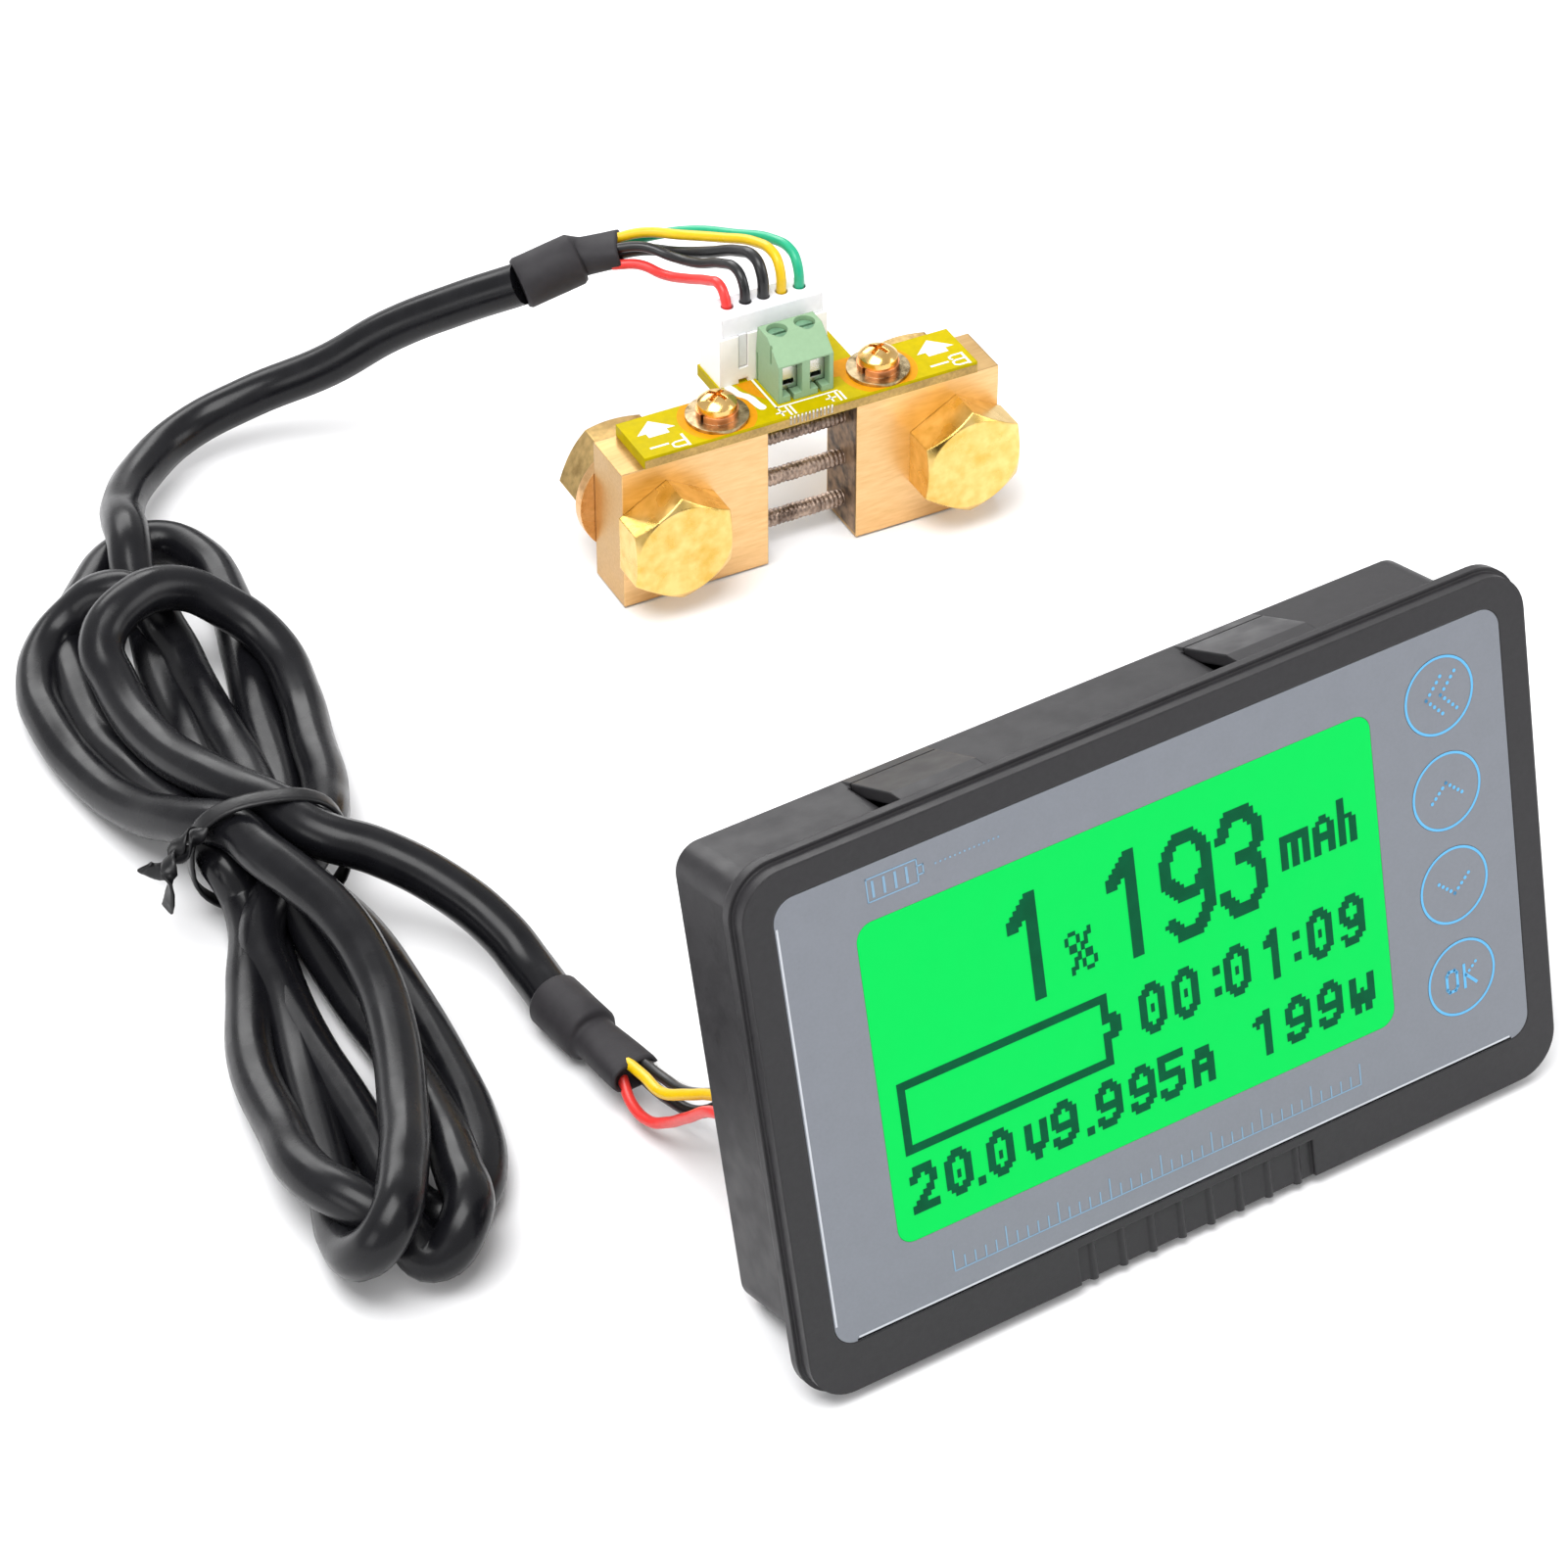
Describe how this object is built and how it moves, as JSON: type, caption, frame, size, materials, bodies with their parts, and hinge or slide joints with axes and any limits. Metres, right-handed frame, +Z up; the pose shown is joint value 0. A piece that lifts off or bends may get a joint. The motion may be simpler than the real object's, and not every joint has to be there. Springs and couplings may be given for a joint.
{
  "type": "battery capacity monitor with sensing shunt",
  "caption": "Panel display with a green screen and four keys, joined by a tied cable to a brass current-sensing shunt with bolts and a small circuit board.",
  "frame": {"origin": "on the ground under the middle of the box round the display and the shunt, without the cable", "axes": "+Z up, +X along the display's width to the right as its face is read, +Y from the display's face towards its back, where the shunt and cable lie"},
  "size_m": [0.145, 0.1886, 0.0609],
  "materials": {
    "black_plastic": "fine matt moulded",
    "screw_steel": "satin",
    "overlay_film": "satin printed film",
    "display_window": "clear",
    "frame_steel": "matt black",
    "lcd_glass": "lit green, with dark segments",
    "backlight": "diffusing white",
    "tinned_pins": "bright tinned",
    "green_board": "satin solder mask",
    "chip_plastic": "matt",
    "header_plastic": "satin",
    "plug_plastic": "satin",
    "block_brass": "fine brushed",
    "resistance_alloy": "rough, dark",
    "yellow_board": "glossy solder mask",
    "washer_brass": "satin",
    "screw_brass": "polished",
    "terminal_plastic": "satin",
    "plated_steel": "zinc plated",
    "bolt_brass": "satin",
    "nut_brass": "satin, darker",
    "wire_insulation": "glossy, one colour for each wire",
    "sleeve_plastic": "matt shrink sleeve",
    "cable_jacket": "satin",
    "tie_plastic": "matt"
  },
  "bodies": {
    "base": {"front_case": "black_plastic", "rear_cover": "black_plastic", "case_screws": "screw_steel", "front_overlay": "overlay_film", "lcd_window": "display_window", "lcd_frame": "frame_steel", "lcd_glass": "lcd_glass", "lcd_backlight": "backlight", "lcd_pins": "tinned_pins", "main_board": "green_board", "board_parts": "chip_plastic", "key_switches": "chip_plastic", "meter_header": "header_plastic", "meter_header_pins": "tinned_pins", "meter_plug": "plug_plastic", "block_left": "block_brass", "block_right": "block_brass", "resistor_rods": "resistance_alloy", "shunt_board": "yellow_board", "board_washers": "washer_brass", "board_screws": "screw_brass", "shunt_header": "header_plastic", "shunt_header_pins": "tinned_pins", "shunt_plug": "plug_plastic", "terminal_housing": "terminal_plastic", "terminal_pins": "tinned_pins", "bolt_left": "bolt_brass", "bolt_right": "bolt_brass", "wires_shunt": "wire_insulation", "sleeve_shunt": "sleeve_plastic", "cable_lead_shunt": "cable_jacket", "cable_hank": "cable_jacket", "cable_lead_meter": "cable_jacket", "sleeve_meter": "sleeve_plastic", "wires_meter": "wire_insulation", "twist_tie": "tie_plastic"},
    "key_ok": {"key_ok": "overlay_film"},
    "key_down": {"key_down": "overlay_film"},
    "key_up": {"key_up": "overlay_film"},
    "key_left": {"key_left": "overlay_film"},
    "snap_clip_top_left": {"snap_clip_top_left": "black_plastic"},
    "snap_clip_top_right": {"snap_clip_top_right": "black_plastic"},
    "snap_clip_bottom_left": {"snap_clip_bottom_left": "black_plastic"},
    "snap_clip_bottom_right": {"snap_clip_bottom_right": "black_plastic"},
    "washer_left": {"washer_left": "washer_brass"},
    "nut_left": {"nut_left": "nut_brass"},
    "washer_right": {"washer_right": "washer_brass"},
    "nut_right": {"nut_right": "nut_brass"},
    "terminal_screw_left": {"terminal_screw_left": "plated_steel"},
    "terminal_clamp_left": {"terminal_clamp_left": "plated_steel"},
    "terminal_screw_right": {"terminal_screw_right": "plated_steel"},
    "terminal_clamp_right": {"terminal_clamp_right": "plated_steel"}
  },
  "joints": [
    {"name": "key_ok_press", "type": "slide", "parent": "base", "child": "key_ok", "axis": [0, 0.9703, -0.2419], "range_m": [0, 0.0003], "stiffness_N_per_m": 400},
    {"name": "key_down_press", "type": "slide", "parent": "base", "child": "key_down", "axis": [0, 0.9703, -0.2419], "range_m": [0, 0.0003], "stiffness_N_per_m": 400},
    {"name": "key_up_press", "type": "slide", "parent": "base", "child": "key_up", "axis": [0, 0.9703, -0.2419], "range_m": [0, 0.0003], "stiffness_N_per_m": 400},
    {"name": "key_left_press", "type": "slide", "parent": "base", "child": "key_left", "axis": [0, 0.9703, -0.2419], "range_m": [0, 0.0003], "stiffness_N_per_m": 400},
    {"name": "snap_clip_top_left_flex", "type": "hinge", "parent": "base", "child": "snap_clip_top_left", "pos_m": [-0.027, -0.04532, 0.05379], "axis": [1, 0, 0], "range_deg": [0, 12], "stiffness_Nm_per_rad": 0.25},
    {"name": "snap_clip_top_right_flex", "type": "hinge", "parent": "base", "child": "snap_clip_top_right", "pos_m": [0.015, -0.04532, 0.05379], "axis": [1, 0, 0], "range_deg": [0, 12], "stiffness_Nm_per_rad": 0.25},
    {"name": "snap_clip_bottom_left_flex", "type": "hinge", "parent": "base", "child": "snap_clip_bottom_left", "pos_m": [-0.027, -0.05853, 0.00082], "axis": [-1, 0, 0], "range_deg": [0, 12], "stiffness_Nm_per_rad": 0.25},
    {"name": "snap_clip_bottom_right_flex", "type": "hinge", "parent": "base", "child": "snap_clip_bottom_right", "pos_m": [0.015, -0.05853, 0.00082], "axis": [-1, 0, 0], "range_deg": [0, 12], "stiffness_Nm_per_rad": 0.25},
    {"name": "washer_left_travel", "type": "slide", "parent": "base", "child": "washer_left", "axis": [0.0993, 0.9951, 0], "range_m": [0, 0.0035]},
    {"name": "nut_left_turn", "type": "hinge", "parent": "washer_left", "child": "nut_left", "pos_m": [0.00749, 0.06657, 0.01], "axis": [0.0993, 0.9951, 0], "range_deg": [0, 1009]},
    {"name": "washer_right_travel", "type": "slide", "parent": "base", "child": "washer_right", "axis": [0.0993, 0.9951, 0], "range_m": [0, 0.0035]},
    {"name": "nut_right_turn", "type": "hinge", "parent": "washer_right", "child": "nut_right", "pos_m": [0.0477, 0.06255, 0.01], "axis": [0.0993, 0.9951, 0], "range_deg": [0, 1009]},
    {"name": "terminal_screw_left_turn", "type": "hinge", "parent": "base", "child": "terminal_screw_left", "pos_m": [0.0257, 0.05973, 0.028], "axis": [0, 0, -1], "range_deg": [0, 481]},
    {"name": "terminal_clamp_left_travel", "type": "slide", "parent": "base", "child": "terminal_clamp_left", "axis": [0, 0, 1], "range_m": [0, 0.0006]},
    {"name": "terminal_screw_right_turn", "type": "hinge", "parent": "base", "child": "terminal_screw_right", "pos_m": [0.02949, 0.05935, 0.028], "axis": [0, 0, -1], "range_deg": [0, 481]},
    {"name": "terminal_clamp_right_travel", "type": "slide", "parent": "base", "child": "terminal_clamp_right", "axis": [0, 0, 1], "range_m": [0, 0.0006]}
  ],
  "couplings": [
    {"joint": "nut_left_turn", "follows": "washer_left_travel", "rad_per_m": 5026.5},
    {"joint": "nut_right_turn", "follows": "washer_right_travel", "rad_per_m": 5026.5},
    {"joint": "terminal_screw_left_turn", "follows": "terminal_clamp_left_travel", "rad_per_m": 13963},
    {"joint": "terminal_screw_right_turn", "follows": "terminal_clamp_right_travel", "rad_per_m": 13963}
  ]
}
